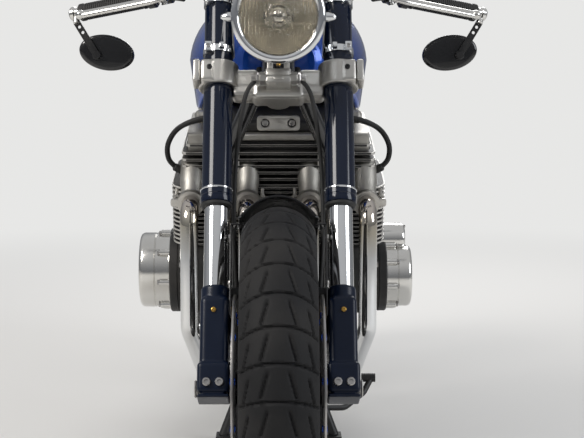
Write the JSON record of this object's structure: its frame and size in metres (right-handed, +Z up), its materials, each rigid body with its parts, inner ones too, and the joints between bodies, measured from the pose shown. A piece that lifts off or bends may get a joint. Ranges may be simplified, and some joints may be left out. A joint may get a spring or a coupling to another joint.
{
  "type": "cafe racer motorcycle",
  "caption": "Air-cooled cafe racer motorcycle on its centre stand, with clip-on bars, bar-end mirrors, round headlamp, steering, free-turning wheels and a folding stand.",
  "frame": {"origin": "on the floor under the motorcycle, halfway between the far ends of the two tyres, on its middle plane", "axes": "+Z up, front wheel towards -Y, rider's left at +X"},
  "size_m": [0.7892, 2.0819, 1.0908],
  "materials": {
    "tyre_rubber": "matt",
    "cast_wheel": "satin black",
    "disc_steel": "ground",
    "fork_outer": "gloss dark navy",
    "chrome": "mirror bright",
    "fork_foot": "satin dark navy",
    "black_metal": "satin",
    "cast_alloy": "satin cast",
    "polished_alloy": "polished",
    "black_engine": "matt black",
    "steel": "plain",
    "rubber": "matt",
    "black_plastic": "matt",
    "gloss_black": "gloss",
    "blue_paint": "gloss metallic blue",
    "lamp_glass": "fluted",
    "red_lens": "red",
    "seat_leather": "matt black",
    "frame_paint": "gloss black"
  },
  "bodies": {
    "front_wheel_set": {"front_tyre": "tyre_rubber", "front_wheel": "cast_wheel", "front_discs": "disc_steel"},
    "rear_wheel_set": {"rear_tyre": "tyre_rubber", "rear_wheel": "cast_wheel", "rear_disc": "disc_steel", "rear_sprocket": "steel"},
    "front_end": {"fork_outers": "fork_outer", "fork_sliders": "chrome", "fork_feet": "fork_foot", "front_axle": "steel", "front_callipers": "black_metal", "front_mudguard": "gloss_black", "lower_yoke": "cast_alloy", "top_yoke": "cast_alloy", "headlamp_bowl": "chrome", "headlamp_rim": "chrome", "headlamp_lens": "lamp_glass", "headlamp_brackets": "chrome", "front_brake_hoses": "rubber", "clip_on_bars": "polished_alloy", "grips": "rubber", "levers": "polished_alloy", "controls": "black_metal", "mirrors": "gloss_black", "gauge": "black_metal"},
    "chassis": {"frame_spine": "frame_paint", "frame_cradle": "frame_paint", "frame_rear": "frame_paint", "swingarm": "black_metal", "rear_axle": "steel", "rear_calliper": "black_metal", "shock_absorbers": "chrome", "crankcase": "black_engine", "barrels": "cast_alloy", "cylinder_head": "cast_alloy", "engine_covers": "polished_alloy", "exhaust": "chrome", "carburettors": "cast_alloy", "plug_leads": "rubber", "drive_chain": "steel", "tank": "blue_paint", "seat": "seat_leather", "tail_hump": "blue_paint", "tail_lamp": "red_lens", "plate_bracket": "black_metal", "footrests": "polished_alloy", "electrics_box": "black_plastic"},
    "stand": {"centre_stand": "black_metal"}
  },
  "joints": [
    {"name": "steering", "type": "hinge", "parent": "chassis", "child": "front_end", "pos_m": [0, -0.44334, 0.86736], "axis": [0, 0.4226, 0.9063], "range_deg": [-30, 30]},
    {"name": "front_wheel_spin", "type": "hinge", "parent": "front_end", "child": "front_wheel_set", "pos_m": [0, -0.741, 0.3], "axis": [1, 0, 0], "continuous": true},
    {"name": "rear_wheel_spin", "type": "hinge", "parent": "chassis", "child": "rear_wheel_set", "pos_m": [0, 0.729, 0.334], "axis": [1, 0, 0], "continuous": true},
    {"name": "centre_stand_fold", "type": "hinge", "parent": "chassis", "child": "stand", "pos_m": [0, 0.12, 0.24], "axis": [1, 0, 0], "range_deg": [0, 80]}
  ]
}
